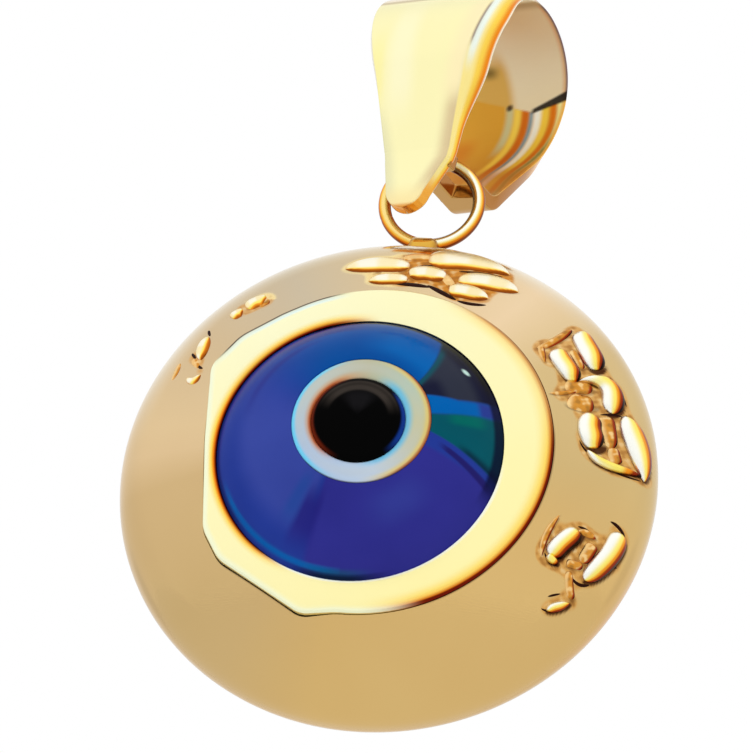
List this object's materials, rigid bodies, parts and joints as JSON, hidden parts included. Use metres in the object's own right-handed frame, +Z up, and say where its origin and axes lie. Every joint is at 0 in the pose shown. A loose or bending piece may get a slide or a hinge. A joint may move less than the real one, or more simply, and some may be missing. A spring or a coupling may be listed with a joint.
{
  "type": "eye pendant with a bail",
  "caption": "Round puffed gold pendant with a domed blue glass eye in a flat bezel ring, cast leaf sprigs on the shoulder, a jump ring, and a tapered bail for a chain.",
  "frame": {"origin": "top of the inside of the bail's loop, where a chain lies", "axes": "+Z up, -Y out of the front of the eye, +X to the right as the wearer's viewer sees it"},
  "size_m": [0.0148, 0.0083, 0.0233],
  "materials": {
    "shell_gold": "polished yellow gold with a soft lustre",
    "bezel_gold": "bright turned yellow gold",
    "blue_glass": "deep royal blue, fire polished",
    "white_glass": "opal white, fire polished",
    "black_glass": "opaque black, fire polished",
    "wire_gold": "drawn and polished yellow gold wire",
    "bail_gold": "polished yellow gold, brightest on its bevelled edges"
  },
  "bodies": {
    "bail": {"bail": "bail_gold"},
    "pendant": {"body_shell": "shell_gold", "bezel_ring": "bezel_gold", "glass_dome": "blue_glass", "white_ring": "white_glass", "pupil": "black_glass", "jump_ring": "wire_gold"}
  },
  "joints": [
    {"name": "swing", "type": "hinge", "parent": "bail", "child": "pendant", "pos_m": [-0.00029, -0.0009, -0.00578], "axis": [0.309, 0.9511, 0], "range_deg": [-75, 75]}
  ]
}
